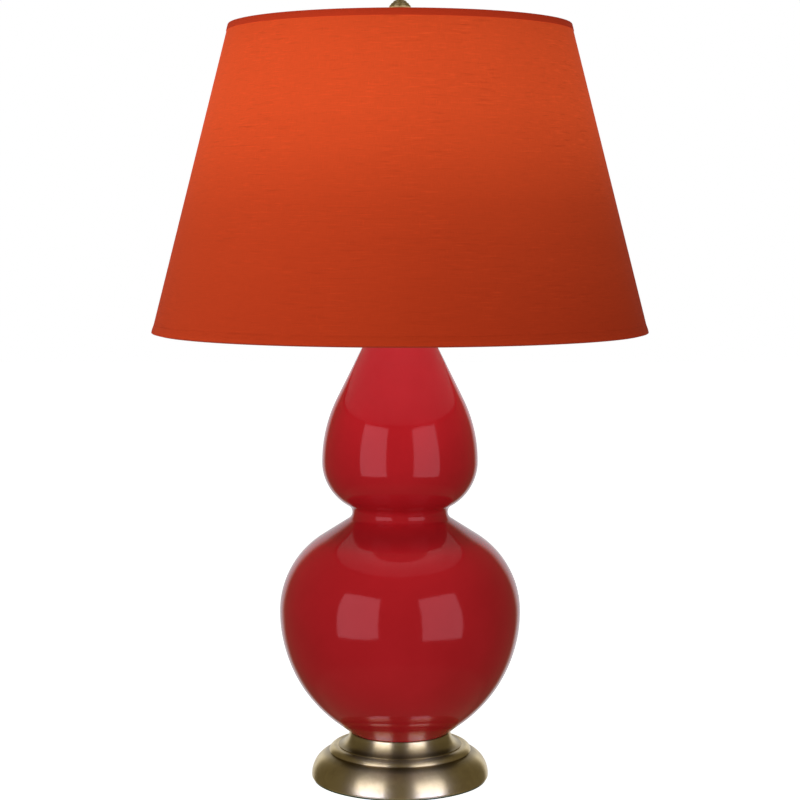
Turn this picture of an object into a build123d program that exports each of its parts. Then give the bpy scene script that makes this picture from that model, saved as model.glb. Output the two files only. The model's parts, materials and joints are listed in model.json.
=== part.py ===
from build123d import *
from math import atan2, cos, degrees, hypot, radians, sin, sqrt, tan
import os

# A table lamp with a glazed double gourd body on a turned brass base, under a cone shade
# of slub cloth. Millimetres; Z is up, -Y is the front, and the origin is the centre of
# the felt's underside, on the table.

# ------------------------------------------------------------------ fits and clearances
slip = 0.05              # radial play of a fixed part on its tube or in its hole
running = 0.08           # radial play of a part that turns or slides in a bore
loose = 0.3              # play between parts that move past each other
hang = 0.15              # radial play of the harp's legs in their channels
overcut = 1.0            # how far a cut runs past what it cuts
quarter_bulge = 1 - sqrt(0.5)    # how far a quarter round of radius 1 stands out from its chord

# ------------------------------------------------------------------ base
felt_thickness = 1.5
felt_inset = 1.8         # the felt stops this far inside the base's edge
base_radius = 89.5
base_edge_rise = 1.7     # from the felt up to the widest line
base_edge_turn = 1.0     # how far the bottom edge turns in below that line
base_wall = 1.5          # spun brass
dome_inset = 17.5        # how far in from the widest line the dome ends
dome_rise = 24.9
dome_bulge = 5.3         # how far the dome's arc stands out from its chord
groove_depth = 0.8       # the turned groove between the dome and the bead
groove_width = 1.1
bead_inset = 9.2
bead_rise = 5.0
bead_bulge = 1.4
quirk_inset = 0.6        # small step from the bead to the cove
quirk_rise = 0.9
cove_rise = 12.9
cove_sag = 3.0           # depth of the cove below its chord
lip_wall = 1.1           # the lip beside the gourd's foot
lip_round = 0.6
seat_depth = 2.2         # how deep the gourd's foot stands in the base
seal_thickness = 1.0
seal_width = 7.6
seal_inset = 1.0         # the seal stops this far inside the gourd's foot

# ------------------------------------------------------------------ weight and tube fixing
weight_room = 6.8        # between the weight's edge and the base's wall
weight_edge_height = 12.5
weight_slope = 14.0      # width of the slope round the weight's top
weight_thickness = 20.0
weight_boss_radius = 18.0
weight_boss_flare = 8.0
nut_recess_room = 2.0    # round the flat washer
nut_recess_depth = 15.7
flat_washer_radius = 11.5
flat_washer_thickness = 1.5
lock_washer_radius = 8.4
lock_washer_thickness = 1.4
lock_washer_split = 1.2
nut_across_flats = 14.3
nut_thickness = 4.5
tube_radius = 4.95       # 1/8 IP lamp pipe
tube_bore = 3.4
tube_below_nut = 1.2
tube_into_cap = 7.5      # how far the tube screws into the socket's cap

# ------------------------------------------------------------------ cord bushing, at the back
bushing_height = 11.0
bushing_bore = 3.0
bushing_wall = 1.6
bushing_flange_radius = 6.8
bushing_flange_thickness = 1.6
bushing_inside = 2.4     # how far the barrel reaches past the base's wall
cord_channel_width = 10.0
cord_channel_height = 14.0

# ------------------------------------------------------------------ gourd
gourd_wall = 5.0
gourd_foot_radius = 48.3
foot_straight = 21.0     # the straight stretch above the foot
lower_lobe_rise = 124.7  # from the foot to the widest line
lower_lobe_radius = 121.5
waist_straight = 33.1    # the straight stretch below the waist
waist_radius = 48.2
waist_round = 8.3
lobe_spacing = 151.7     # between the widest lines of the two lobes
upper_lobe_radius = 78.4
upper_lobe_under_arc = 50.1
neck_rise = 149.2        # from the upper lobe's widest line to the neck
neck_straight = 95.1     # the straight stretch below the neck
neck_radius = 20.7
gourd_hole_room = 1.05   # round the tube, in the foot and in the neck

# ------------------------------------------------------------------ stem above the neck
cap_skirt_depth = 4.0
cap_wall = 1.2
cap_top_radius = 10.5
cap_rise = 5.0
spindle_foot_radius = 9.0
spindle_foot_rise = 3.0
spindle_cove_rise = 4.2
spindle_cove_sag = 0.8
spindle_neck_radius = 6.6
spindle_neck_rise = 2.4
spindle_bead_radius = 9.6
spindle_bead_rise = 5.4
spindle_flare_rise = 3.0
check_ring_radius = 11.5
check_ring_thickness = 3.0
check_ring_chamfer = 0.75

# ------------------------------------------------------------------ harp and saddle
saddle_thickness = 1.5
saddle_width = 10.0
saddle_corner = 2.5
saddle_plate_radius = 10.0   # the round middle that is clamped
saddle_flat = 12.5       # where the arms start to rise
saddle_rise = 9.5
leg_spread = 27.5        # each leg's distance from the axis
wire_radius = 1.8
channel_wall = 1.5
channel_height = 16.0
mouth_play = 0.4         # of a leg in the side opening that it goes in by
sleeve_wall = 0.75
sleeve_drop = 12.0       # how much of the channel the sleeve covers
sleeve_shoulder = 3.5
sleeve_lift = 14.0       # how far a sleeve slides up to free its leg
harp_bend_share = 0.45   # how much of its shorter run each bend takes
harp_bow = 60.0
harp_bow_start = 107.0   # from a leg's foot
harp_bow_end = 158.0
harp_crown_half = 26.0
harp_height = 227.3      # from a leg's foot to the middle of the wire at the top
pad_radius = 6.5
pad_extra = 0.6          # how much thicker the pad is than the wire

# ------------------------------------------------------------------ swivel stud and finial
stud_shank_radius = 2.0
stud_head_radius = 3.7
stud_head_thickness = 1.5
stud_head_flat = 2.6
stud_gap = 0.1           # end play of the swivel
stud_shoulder_radius = 5.6
stud_shoulder_thickness = 2.5
stud_thread_radius = 3.175
stud_thread_length = 11.5
stud_lead_in = 0.7
finial_bore_extra = 2.5
finial_collar_radius = 6.5
finial_collar_height = 3.6
finial_collar_slope = 1.0
finial_neck_radius = 5.2
finial_neck_height = 12.0
finial_knob_radius = 10.6
finial_knob_height = 27.8
finial_cup_bulge = 1.7
finial_tier_radii = (9.9, 7.6, 4.9)
finial_tier_height = 2.3
finial_tier_step = 0.5
finial_tip_height = 1.9

# ------------------------------------------------------------------ shade
shade_top_radius = 169.4
shade_bottom_radius = 247.0
shade_height = 300.5
shade_above_hub = 12.55  # from the middle of the hub to the shade's top edge
cover_thickness = 0.6
liner_thickness = 0.8
binding_thickness = 0.5
top_binding_width = 7.0
bottom_binding_width = 9.0
ring_wire_radius = 1.75
arm_wire_radius = 1.7
arm_count = 3
arm_first_angle = 90.0
arm_bend_radius = 25.0
arm_bend_start = 24.0    # the arms bend up this far inside the ring
arm_in_hub = 5.0
hub_radius = 15.0
hub_thickness = 3.9
hub_round = 1.0
frame_gap = 0.1          # room for the joint where one wire meets another

# ------------------------------------------------------------------ lampholder
shell_wall = 0.6
shell_lip = 0.7
shell_above_screw = 2.0  # how far the shell's mouth stands above the screw shell
holder_cap_wall = 0.8
holder_cap_overlap = 4.5
holder_hub_radius = 8.2
holder_hub_height = 6.0
holder_cup_rise = 7.4
holder_cup_bulge = 1.5
holder_cap_height = 22.5
sleeve_paper = 0.6
sleeve_proud = 0.8       # how far the paper sleeve stands out of the shell
body_play = 0.65         # round the core, inside the paper sleeve
body_setback = 1.0       # from the shell's foot up to the core
body_step = 0.2          # how much wider the core is than the screw shell
body_height = 25.0
body_chamfer = 0.8
screw_play = 0.5         # round the bulb's cap, inside the screw shell
screw_shell_wall = 0.6
screw_shell_height = 20.0
contact_radius = 3.6
contact_thickness = 0.7
contact_post = 0.8
contact_room = 2.5       # between the centre contact and the screw shell's floor
ring_contact_width = 1.4
ring_contact_thickness = 0.6
terminal_radius = 2.6
terminal_spread = 9.0
terminal_head = 1.8
terminal_length = 5.0
setscrew_radius = 1.5
setscrew_head_radius = 2.4
setscrew_head = 1.4

# ------------------------------------------------------------------ switch
switch_height = 13.0     # above the lower end of the lampholder's body
switch_stem_radius = 2.0
switch_stem_inside = 6.0
switch_knob_radius = 6.0
switch_knob_length = 15.0
switch_knob_round = 1.5
switch_knob_plain = 2.0  # the stretch behind the flutes
switch_knob_bore = 9.0
switch_knob_gap = 5.5
switch_flutes = 14
switch_flute_radius = 0.8

# ------------------------------------------------------------------ bulb
bulb_cap_radius = 13.1   # a 26 mm screw cap
bulb_cap_length = 22.0
bulb_cap_wall = 0.5
bulb_cap_taper = 3.0
bulb_insulator_radius = 9.0
bulb_insulator_length = 3.5
bulb_insulator_rim = 0.5
bulb_contact_radius = 4.5
bulb_contact_length = 1.2
bulb_radius = 33.5
bulb_length = 135.0
bulb_neck_step = 0.5     # how much wider the glass is than the cap
bulb_neck_arc = 55.0
bulb_wall = 0.9
bulb_stem_radius = 4.5
bulb_stem_tail = 1.0     # how far the post reaches into the cap
bulb_stem_plain = 11.0
bulb_stem_taper = 21.0
bulb_stem_tip_radius = 2.25
filament_wire_radius = 0.5
filament_lead_gap = 1.2
filament_half_width = 9.0
filament_rise = 16.0
filament_bend = 2.5

# ------------------------------------------------------------------ places that follow
edge_height = felt_thickness + base_edge_rise
dome_top_radius = base_radius - dome_inset
dome_top_height = edge_height + dome_rise
bead_foot_height = dome_top_height + groove_width
bead_inner_radius = dome_top_radius - bead_inset
bead_inner_height = bead_foot_height + bead_rise
cove_foot_radius = bead_inner_radius - quirk_inset
cove_foot_height = bead_inner_height + quirk_rise
lip_height = cove_foot_height + cove_rise + lip_round
seat_height = lip_height - seat_depth      # top of the plate that the gourd's seal lies on
gourd_foot = seat_height + seal_thickness
lower_lobe_height = gourd_foot + lower_lobe_rise
upper_lobe_height = lower_lobe_height + lobe_spacing
neck_height = upper_lobe_height + neck_rise
web_height = felt_thickness + nut_recess_depth
flat_washer_height = web_height - flat_washer_thickness
lock_washer_height = flat_washer_height - lock_washer_thickness
nut_height = lock_washer_height - nut_thickness
tube_foot = nut_height - tube_below_nut
tube_hole = tube_radius + slip
cap_top = neck_height + cap_rise
spindle_foot_top = cap_top + spindle_foot_rise
spindle_neck_foot = spindle_foot_top + spindle_cove_rise
spindle_bead_foot = spindle_neck_foot + spindle_neck_rise
spindle_bead_top = spindle_bead_foot + spindle_bead_rise
spindle_top = spindle_bead_top + spindle_flare_rise
check_ring_top = spindle_top + check_ring_thickness
saddle_top = check_ring_top + saddle_thickness
leg_foot = saddle_top + saddle_rise
channel_radius = wire_radius + hang
channel_outer_radius = channel_radius + channel_wall
channel_top = leg_foot + channel_height
sleeve_top = channel_top + sleeve_shoulder
pad_thickness = 2 * wire_radius + pad_extra
wire_top_height = leg_foot + harp_height
pad_top = wire_top_height + pad_thickness / 2
pad_bottom = wire_top_height - pad_thickness / 2
shoulder_bottom = pad_top + stud_gap
shoulder_top = shoulder_bottom + stud_shoulder_thickness
thread_top = shoulder_top + stud_thread_length
hub_level = shoulder_top + hub_thickness / 2
hub_top = shoulder_top + hub_thickness
shade_top_height = hub_level + shade_above_hub
screw_shell_inner = bulb_cap_radius + screw_play
screw_shell_radius = screw_shell_inner + screw_shell_wall
body_radius = screw_shell_radius + body_step
sleeve_inner_radius = body_radius + body_play
sleeve_outer_radius = sleeve_inner_radius + sleeve_paper
shell_inner_radius = sleeve_outer_radius + slip
shell_radius = shell_inner_radius + shell_wall
shell_foot = saddle_top + holder_cap_height - holder_cap_overlap
body_foot = shell_foot + body_setback
body_top = body_foot + body_height
screw_shell_top = body_top + screw_shell_height
shell_top = screw_shell_top + shell_above_screw
switch_axis_height = body_foot + switch_height
knob_back = shell_radius + switch_knob_gap
knob_front = knob_back + switch_knob_length
contact_top = body_top + contact_post + contact_thickness
bulb_foot = contact_top + loose
bulb_contact_top = bulb_foot + bulb_contact_length
bulb_cap_foot = bulb_contact_top + bulb_insulator_length
glass_foot = bulb_cap_foot + bulb_cap_length
bulb_neck_radius = bulb_cap_radius + bulb_neck_step
bulb_centre = bulb_foot + bulb_length - bulb_radius
stem_top = glass_foot + bulb_stem_plain + bulb_stem_taper
slant_length = hypot(shade_height, shade_bottom_radius - shade_top_radius)
slant_sine = (shade_bottom_radius - shade_top_radius) / slant_length
slant_cosine = shade_height / slant_length
liner_depth = binding_thickness + cover_thickness
ring_depth = liner_depth + liner_thickness + frame_gap + ring_wire_radius
ring_setback = binding_thickness + frame_gap + ring_wire_radius
inner_leg_depth = ring_depth + ring_wire_radius + frame_gap


# ------------------------------------------------------------------ shared shapes
def turned(outline):
    """A solid turned about the lamp's axis from a closed face of (radius, height) edges."""
    return revolve(Plane.XZ * outline, Axis.Z)


def lathe(*corners):
    """A turned solid whose outline has straight edges between (radius, height) corners."""
    return turned(make_face(Polyline(*corners, close=True)))


def washer(outer, inner, bottom, top):
    """A flat ring about the lamp's axis."""
    return lathe((inner, bottom), (outer, bottom), (outer, top), (inner, top))


def rod(radius, start, end):
    """A round rod between two points."""
    run = Vector(*end) - Vector(*start)
    return extrude(Plane(origin=start, z_dir=run) * Circle(radius), run.length)


def through_hole(radius, bottom, top):
    """A round cut along the lamp's axis, right through what lies between two heights."""
    return rod(radius, (0, 0, bottom - overcut), (0, 0, top + overcut))


def on_circle(centre, radius, angle):
    """A point of an outline at an angle above the horizontal, about a centre."""
    return (centre[0] + radius * cos(radians(angle)), centre[1] + radius * sin(radians(angle)))


def bulged(start, end, bulge):
    """An arc that stands out from its chord, to the left of the way from start to end."""
    length = hypot(end[0] - start[0], end[1] - start[1])
    across = ((start[1] - end[1]) / length, (end[0] - start[0]) / length)
    middle = ((start[0] + end[0]) / 2 + across[0] * bulge, (start[1] + end[1]) / 2 + across[1] * bulge)
    return ThreePointArc(start, middle, end)


# ------------------------------------------------------------------ base
def felt_pad():
    return Pos(0, 0, felt_thickness / 2) * Cylinder(base_radius - felt_inset, felt_thickness)


def dome_radius(height):
    """The radius of the dome's outside at a height, from the arc that draws it."""
    chord = hypot(dome_inset, dome_rise)
    radius = (chord ** 2 / 4 + dome_bulge ** 2) / (2 * dome_bulge)
    back = radius - dome_bulge
    centre_r = base_radius - dome_inset / 2 - back * dome_rise / chord
    centre_z = edge_height + dome_rise / 2 - back * dome_inset / chord
    return centre_r + sqrt(radius ** 2 - (height - centre_z) ** 2)


def weight_radius():
    """The weight's edge stands clear of the wall at its highest corner."""
    return dome_radius(felt_thickness + weight_edge_height) - base_wall - weight_room


def recess_radius():
    """The recess in the base's lip that takes the gourd's foot."""
    return gourd_radius_near_foot(lip_height) + loose


def base_outside():
    """The turned outside of the base, as if it were solid."""
    lip_radius = recess_radius() + lip_wall
    foot = (base_radius - base_edge_turn, felt_thickness)
    edge = (base_radius, edge_height)
    dome_top = (dome_top_radius, dome_top_height)
    groove = (dome_top_radius - groove_depth, dome_top_height + groove_width / 2)
    bead_foot = (dome_top_radius, bead_foot_height)
    bead_top = (bead_inner_radius, bead_inner_height)
    cove_foot = (cove_foot_radius, cove_foot_height)
    cove_top = (lip_radius, lip_height - lip_round)
    lip_top = (lip_radius - lip_round, lip_height)
    return turned(make_face([
        Line((0, felt_thickness), foot),
        Line(foot, edge),
        bulged(edge, dome_top, -dome_bulge),
        Line(dome_top, groove),
        Line(groove, bead_foot),
        bulged(bead_foot, bead_top, -bead_bulge),
        Line(bead_top, cove_foot),
        bulged(cove_foot, cove_top, cove_sag),
        bulged(cove_top, lip_top, -lip_round * quarter_bulge),
        Line(lip_top, (0, lip_height)),
        Line((0, lip_height), (0, felt_thickness)),
    ]))


def base_inside():
    """The hollow under the spun shell, a wall's thickness inside its outline."""
    ceiling = seat_height - base_wall
    foot = (base_radius - base_wall, felt_thickness)
    edge = (base_radius - base_wall, edge_height)
    dome_top = (dome_top_radius - base_wall, dome_top_height - base_wall)
    cove_foot = (cove_foot_radius - base_wall, bead_inner_height - base_wall)
    cove_top = (recess_radius() + lip_wall - base_wall, ceiling)
    return turned(make_face([
        Line((0, felt_thickness), foot),
        Line(foot, edge),
        bulged(edge, dome_top, -dome_bulge),
        Line(dome_top, cove_foot),
        bulged(cove_foot, cove_top, cove_sag),
        Line(cove_top, (0, ceiling)),
        Line((0, ceiling), (0, felt_thickness)),
    ]))


def gourd_room():
    """The recess inside the lip that takes the gourd's foot."""
    return rod(recess_radius(), (0, 0, seat_height), (0, 0, lip_height + overcut))


def bushing_hole():
    """The round hole through the back of the base's wall."""
    radius = bushing_bore + bushing_wall + slip
    return rod(radius, (0, weight_radius(), bushing_height), (0, base_radius + overcut, bushing_height))


def base_shell():
    shell = base_outside() - base_inside() - gourd_room()
    return shell - through_hole(tube_hole, seat_height - base_wall, seat_height) - bushing_hole()


def base_weight():
    """Cast iron, with a boss up to the seat plate and a channel below for the cord."""
    boss_top = seat_height - base_wall
    top = felt_thickness + weight_thickness
    edge = felt_thickness + weight_edge_height
    radius = weight_radius()
    recess = flat_washer_radius + nut_recess_room
    casting = lathe(
        (recess, felt_thickness),
        (radius, felt_thickness),
        (radius, edge),
        (radius - weight_slope, top),
        (weight_boss_radius + weight_boss_flare, top),
        (weight_boss_radius, top + weight_boss_flare),
        (weight_boss_radius, boss_top),
        (tube_hole, boss_top),
        (tube_hole, web_height),
        (recess, web_height),
    )
    channel = Box(cord_channel_width, radius + overcut, cord_channel_height, align=(
        Align.CENTER, Align.MIN, Align.MIN
    ))
    return casting - Pos(0, 0, felt_thickness) * channel


def tube_nut():
    hexagon = RegularPolygon(nut_across_flats / 2, 6, major_radius=False)
    blank = extrude(Pos(0, 0, nut_height) * hexagon, nut_thickness)
    return blank - through_hole(tube_hole, nut_height, lock_washer_height)


def lock_washer():
    ring = washer(lock_washer_radius, tube_hole, lock_washer_height, flat_washer_height)
    split = Box(lock_washer_radius + overcut, lock_washer_split, lock_washer_thickness, align=(
        Align.MIN, Align.CENTER, Align.MIN
    ))
    return ring - Pos(0, 0, lock_washer_height) * split


def flat_washer():
    return washer(flat_washer_radius, tube_hole, flat_washer_height, web_height)


def cord_bushing():
    """A flanged plastic bushing whose flange fits the curved wall of the base."""
    wall_outside = dome_radius(bushing_height)
    inner_end = wall_outside - base_wall - bushing_inside
    outer_end = wall_outside + bushing_flange_thickness
    flange = rod(bushing_flange_radius, (0, inner_end, bushing_height), (0, outer_end, bushing_height))
    barrel = rod(bushing_bore + bushing_wall, (0, inner_end, bushing_height), (0, outer_end, bushing_height))
    bore = rod(
        bushing_bore, (0, inner_end - overcut, bushing_height), (0, outer_end + overcut, bushing_height)
    )
    return (flange - base_outside()) + barrel - bore


def seat_seal():
    outer = gourd_foot_radius - seal_inset
    return washer(outer, outer - seal_width, seat_height, gourd_foot)


# ------------------------------------------------------------------ gourd
def arc_radius(step, rise, straight):
    """The radius of an arc that leaves a widest line upright and runs into a straight stretch.

    Together they end a step nearer the axis, and a rise above or below the widest line.
    """
    return (step ** 2 + rise ** 2 - straight ** 2) / (2 * step)


def arc_angle(step, rise, straight):
    """How far that arc turns before its straight stretch, in degrees."""
    radius = arc_radius(step, rise, straight)
    return degrees(atan2(rise, radius - step) - atan2(straight, radius))


foot_step = lower_lobe_radius - gourd_foot_radius
foot_arc = arc_radius(foot_step, lower_lobe_rise, foot_straight)
foot_angle = arc_angle(foot_step, lower_lobe_rise, foot_straight)
neck_step = upper_lobe_radius - neck_radius
neck_arc = arc_radius(neck_step, neck_rise, neck_straight)
neck_angle = arc_angle(neck_step, neck_rise, neck_straight)
waist_step = lower_lobe_radius - waist_radius
waist_reach = upper_lobe_under_arc + waist_round
waist_drop = sqrt(waist_reach ** 2 - (waist_reach - upper_lobe_radius + waist_radius) ** 2)
waist_rise = lobe_spacing - waist_drop
waist_arc = arc_radius(waist_step, waist_rise, waist_straight) - waist_round
waist_angle = arc_angle(waist_step, waist_rise, waist_straight)


def gourd_radius_near_foot(height):
    """The radius of the straight cone at the gourd's foot."""
    return gourd_foot_radius + tan(radians(foot_angle)) * (height - gourd_foot)


def gourd_radius_near_neck(height):
    """The radius of the straight cone at the gourd's neck."""
    return neck_radius + tan(radians(neck_angle)) * (neck_height - height)


def gourd_outline(inset, bottom, top):
    """The double gourd's half section, moved in by inset.

    Each lobe is two arcs that meet upright at its widest line. Straight cones, tangent to
    the arcs, run to the foot and the neck. A cone from the lower lobe and the arc under
    the upper lobe both run into the waist's small arc.
    """
    low_under = (lower_lobe_radius - foot_arc, lower_lobe_height)
    low_over = (lower_lobe_radius - waist_arc, lower_lobe_height)
    waist = (waist_radius + waist_round, lower_lobe_height + waist_rise)
    high_under = (upper_lobe_radius - upper_lobe_under_arc, upper_lobe_height)
    high_over = (upper_lobe_radius - neck_arc, upper_lobe_height)
    meet_angle = degrees(atan2(waist[1] - high_under[1], waist[0] - high_under[0]))

    foot_end = on_circle(low_under, foot_arc - inset, -foot_angle)
    foot = (foot_end[0] - tan(radians(foot_angle)) * (foot_end[1] - bottom), bottom)
    cone_foot = on_circle(low_over, waist_arc - inset, waist_angle)
    cone_top = on_circle(waist, waist_round + inset, waist_angle - 180)
    neck_start = on_circle(high_over, neck_arc - inset, neck_angle)
    neck = (neck_start[0] - tan(radians(neck_angle)) * (top - neck_start[1]), top)

    return make_face([
        Line(foot, foot_end),
        CenterArc(low_under, foot_arc - inset, -foot_angle, foot_angle),
        CenterArc(low_over, waist_arc - inset, 0, waist_angle),
        Line(cone_foot, cone_top),
        CenterArc(waist, waist_round + inset, waist_angle + 180, meet_angle - waist_angle),
        CenterArc(high_under, upper_lobe_under_arc - inset, meet_angle, -meet_angle),
        CenterArc(high_over, neck_arc - inset, 0, neck_angle),
        Line(neck_start, neck),
        Line(neck, (0, top)),
        Line((0, top), (0, bottom)),
        Line((0, bottom), foot),
    ])


def gourd_body():
    """The glazed body, cast with an even wall and a hole at each end for the tube."""
    outside = turned(gourd_outline(0, gourd_foot, neck_height))
    inside = turned(gourd_outline(gourd_wall, gourd_foot + gourd_wall, neck_height - gourd_wall))
    return outside - inside - through_hole(tube_radius + gourd_hole_room, gourd_foot, neck_height)


# ------------------------------------------------------------------ stem above the neck
def threaded_tube():
    return washer(tube_radius, tube_bore, tube_foot, saddle_top + tube_into_cap)


def vase_cap():
    """A brass cap whose skirt goes down round the gourd's neck."""
    skirt_bottom = neck_height - cap_skirt_depth
    skirt_inner = gourd_radius_near_neck(skirt_bottom) + loose
    skirt_outer = skirt_inner + cap_wall
    shoulder = (skirt_outer, neck_height)
    crown = (cap_top_radius, cap_top)
    return turned(make_face([
        Line((skirt_inner, skirt_bottom), (skirt_outer, skirt_bottom)),
        Line((skirt_outer, skirt_bottom), shoulder),
        bulged(shoulder, crown, -cap_wall),
        Line(crown, (tube_hole, cap_top)),
        Line((tube_hole, cap_top), (tube_hole, neck_height)),
        Line((tube_hole, neck_height), (skirt_inner, neck_height)),
        Line((skirt_inner, neck_height), (skirt_inner, skirt_bottom)),
    ]))


def neck_spindle():
    """The turned brass neck between the vase cap and the saddle."""
    foot_top = (spindle_foot_radius, spindle_foot_top)
    neck_foot = (spindle_neck_radius, spindle_neck_foot)
    bead_foot = (spindle_neck_radius, spindle_bead_foot)
    bead_top = (spindle_neck_radius, spindle_bead_top)
    return turned(make_face([
        Line((tube_hole, cap_top), (spindle_foot_radius, cap_top)),
        Line((spindle_foot_radius, cap_top), foot_top),
        bulged(foot_top, neck_foot, spindle_cove_sag),
        Line(neck_foot, bead_foot),
        bulged(bead_foot, bead_top, spindle_neck_radius - spindle_bead_radius),
        Line(bead_top, (spindle_foot_radius, spindle_top)),
        Line((spindle_foot_radius, spindle_top), (tube_hole, spindle_top)),
        Line((tube_hole, spindle_top), (tube_hole, cap_top)),
    ]))


def check_ring():
    ring = washer(check_ring_radius, tube_hole, spindle_top, check_ring_top)
    rims = ring.edges().filter_by(GeomType.CIRCLE).group_by(SortBy.RADIUS)[-1]
    return chamfer(rims, check_ring_chamfer)


# ------------------------------------------------------------------ harp and saddle
def saddle_side(side):
    """One arm of the saddle, with the open channel that a leg of the harp stands in."""
    floor = leg_foot - saddle_thickness
    tip = leg_spread + channel_outer_radius
    strip = make_face(Polyline(
        (0, check_ring_top),
        (saddle_flat, check_ring_top),
        (leg_spread - channel_outer_radius + saddle_thickness, floor),
        (tip, floor),
        (tip, leg_foot),
        (leg_spread - channel_outer_radius, leg_foot),
        (saddle_flat - saddle_thickness / 2, saddle_top),
        (0, saddle_top),
        close=True,
    ))
    arm = extrude(Plane.XZ * strip, saddle_width / 2, both=True)
    corners = arm.edges().filter_by(Axis.Z).group_by(Axis.X)[-1]
    arm = fillet(corners, saddle_corner)
    wall = rod(channel_outer_radius, (leg_spread, 0, leg_foot), (leg_spread, 0, channel_top))
    wall -= rod(channel_radius, (leg_spread, 0, leg_foot), (leg_spread, 0, channel_top + overcut))
    mouth = Box(tip, 2 * wire_radius + mouth_play, channel_height + overcut, align=(
        Align.MIN, Align.CENTER, Align.MIN
    ))
    wall -= Pos(leg_spread, 0, leg_foot) * mouth
    arm += wall
    return arm if side > 0 else mirror(arm, Plane.YZ)


def harp_saddle():
    plate = washer(saddle_plate_radius, tube_hole, check_ring_top, saddle_top)
    hole = through_hole(tube_hole, check_ring_top, saddle_top)
    return saddle_side(1) + saddle_side(-1) + plate - hole


def harp_line():
    """The middle line of the harp's wire, from one foot over the top to the other.

    Each leg is straight as far as its sleeve slides, and each bend takes a share of the
    shorter of the runs that it joins.
    """
    straight = sleeve_top + sleeve_lift + overcut - leg_foot
    half = [
        Vector(leg_spread, 0, leg_foot),
        Vector(leg_spread, 0, leg_foot + straight / (1 - harp_bend_share)),
        Vector(harp_bow, 0, leg_foot + harp_bow_start),
        Vector(harp_bow, 0, leg_foot + harp_bow_end),
        Vector(harp_crown_half, 0, wire_top_height),
    ]
    corners = half + [Vector(-point.X, 0, point.Z) for point in reversed(half)]
    radii = []
    for before, corner, after in zip(corners, corners[1:], corners[2:]):
        arriving = corner - before
        leaving = after - corner
        reach = harp_bend_share * min(arriving.length, leaving.length)
        radii.append(reach / tan(radians(arriving.get_angle(leaving)) / 2))
    return FilletPolyline(*corners, radius=radii)


def harp_loop():
    """Bent wire, flattened at the top into a pad that carries the swivel stud."""
    line = harp_line()
    wire = sweep(Plane(line @ 0, z_dir=line % 0) * Circle(wire_radius), path=line)
    pad = Pos(0, 0, wire_top_height) * Cylinder(pad_radius, pad_thickness)
    return wire + pad - through_hole(stud_shank_radius + running, pad_bottom, pad_top)


def harp_sleeve(side):
    """The tube that slides down over a leg and its channel and locks them together."""
    bottom = channel_top - sleeve_drop
    bore = channel_outer_radius + loose
    outer = bore + sleeve_wall
    neck = wire_radius + hang
    collar = lathe(
        (bore, bottom),
        (outer, bottom),
        (outer, sleeve_top - sleeve_wall),
        (outer - sleeve_wall, sleeve_top),
        (neck, sleeve_top),
        (neck, channel_top + slip),
        (bore, channel_top + slip),
    )
    return Pos(side * leg_spread, 0, 0) * collar


def harp_stud():
    """The swivel stud: a riveted shank, a shoulder for the shade and a threaded end."""
    head_top = pad_bottom - stud_gap
    head_bottom = head_top - stud_head_thickness
    return lathe(
        (0, head_bottom),
        (stud_head_flat, head_bottom),
        (stud_head_radius, head_bottom + stud_head_thickness / 2),
        (stud_head_radius, head_top),
        (stud_shank_radius, head_top),
        (stud_shank_radius, shoulder_bottom),
        (stud_shoulder_radius, shoulder_bottom),
        (stud_shoulder_radius, shoulder_top),
        (stud_thread_radius, shoulder_top),
        (stud_thread_radius, thread_top - stud_lead_in),
        (stud_thread_radius - stud_lead_in, thread_top),
        (0, thread_top),
    )


def finial():
    """A turned brass knob: collar, hollow neck, bead, then tiers that step in to a tip."""
    bore = stud_thread_radius + running
    bore_top = thread_top + finial_bore_extra
    collar_top = (finial_collar_radius, hub_top + finial_collar_height)
    neck_foot = (finial_neck_radius, hub_top + finial_collar_height + finial_collar_slope)
    neck_top = (finial_neck_radius, hub_top + finial_neck_height)
    knob = (finial_knob_radius, hub_top + finial_knob_height)
    edges = [
        Line((bore, hub_top), (finial_collar_radius, hub_top)),
        Line((finial_collar_radius, hub_top), collar_top),
        Line(collar_top, neck_foot),
        Line(neck_foot, neck_top),
        bulged(neck_top, knob, finial_cup_bulge),
    ]
    here = knob
    for radius in finial_tier_radii:
        rim = (radius, here[1] + finial_tier_height)
        edges.append(bulged(here, rim, -finial_tier_step))
        here = (radius - finial_tier_step, rim[1])
        edges.append(Line(rim, here))
    tip = (0, here[1] + finial_tip_height)
    edges += [
        TangentArc(tip, here, tangent=(1, 0)),
        Line(tip, (0, bore_top)),
        Line((0, bore_top), (bore, bore_top)),
        Line((bore, bore_top), (bore, hub_top)),
    ]
    return turned(make_face(edges))


# ------------------------------------------------------------------ shade
def on_slant(along, depth):
    """A point of the shade's section, along the slant from the top edge and in from the face."""
    return (
        shade_top_radius + along * slant_sine - depth * slant_cosine,
        shade_top_height - along * slant_cosine - depth * slant_sine,
    )


def slant_ring(*places):
    """A turned solid whose outline has corners given along the slant and in from the face."""
    return lathe(*[on_slant(along, depth) for along, depth in places])


def slant_band(start, end, outer, inner):
    """A conical band of the shade's wall."""
    return slant_ring((start, outer), (end, outer), (end, inner), (start, inner))


def shade_cover():
    return slant_band(binding_thickness, slant_length - binding_thickness, binding_thickness, liner_depth)


def shade_liner():
    depth = liner_depth + liner_thickness
    return slant_band(binding_thickness, slant_length - binding_thickness, liner_depth, depth)


def wire_ring(along):
    """A hoop of wire inside the liner, at a distance along the slant."""
    centre = on_slant(along, ring_depth)
    return Pos(0, 0, centre[1]) * Torus(centre[0], ring_wire_radius)


def top_ring():
    return wire_ring(ring_setback)


def bottom_ring():
    return wire_ring(slant_length - ring_setback)


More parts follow.
